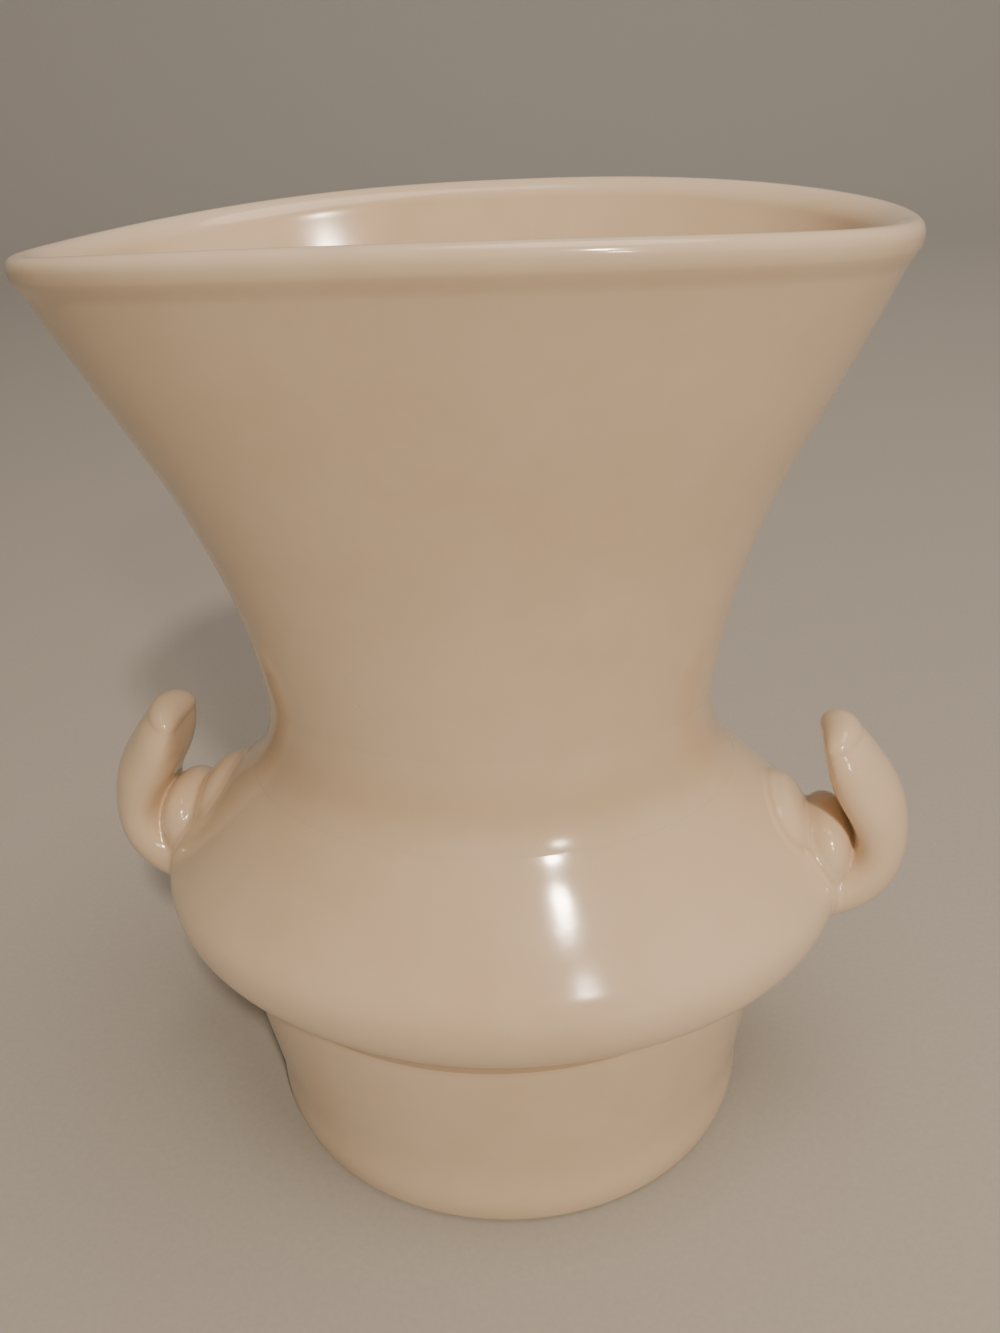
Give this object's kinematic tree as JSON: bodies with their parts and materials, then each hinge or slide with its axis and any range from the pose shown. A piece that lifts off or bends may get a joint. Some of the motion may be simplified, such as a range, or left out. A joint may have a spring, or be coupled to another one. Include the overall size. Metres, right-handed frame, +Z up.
{
  "type": "vase",
  "caption": "Small white-glazed porcelain vase with a flared oval mouth, squat oval belly, tall drum foot and a scroll handle with an inner leaf on each side, for cut flowers or display",
  "frame": {"origin": "middle of the face that the foot rests on, on the vase's vertical axis", "axes": "+Z up along the axis of the vase, X through the two handles along the length of the oval mouth, Y across the oval; -Y is the side that faces the viewer"},
  "size_m": [0.1356, 0.092, 0.152],
  "materials": {
    "foot": "glossy ivory glaze over white porcelain",
    "foot_luting_ring": "glossy ivory glaze over white porcelain",
    "bowl": "glossy ivory glaze over white porcelain",
    "neck_luting_ring": "glossy ivory glaze over white porcelain",
    "neck": "glossy ivory glaze over white porcelain",
    "handle_right": "glossy ivory glaze over white porcelain",
    "handle_left": "glossy ivory glaze over white porcelain",
    "leaf_right": "glossy ivory glaze over white porcelain",
    "leaf_left": "glossy ivory glaze over white porcelain",
    "handle_luting_right": "glossy ivory glaze over white porcelain",
    "handle_luting_left": "glossy ivory glaze over white porcelain"
  },
  "bodies": {
    "root": {"foot": "foot", "foot_luting_ring": "foot_luting_ring", "bowl": "bowl", "neck_luting_ring": "neck_luting_ring", "neck": "neck", "handle_right": "handle_right", "handle_left": "handle_left", "leaf_right": "leaf_right", "leaf_left": "leaf_left", "handle_luting_right": "handle_luting_right", "handle_luting_left": "handle_luting_left"}
  },
  "joints": []
}
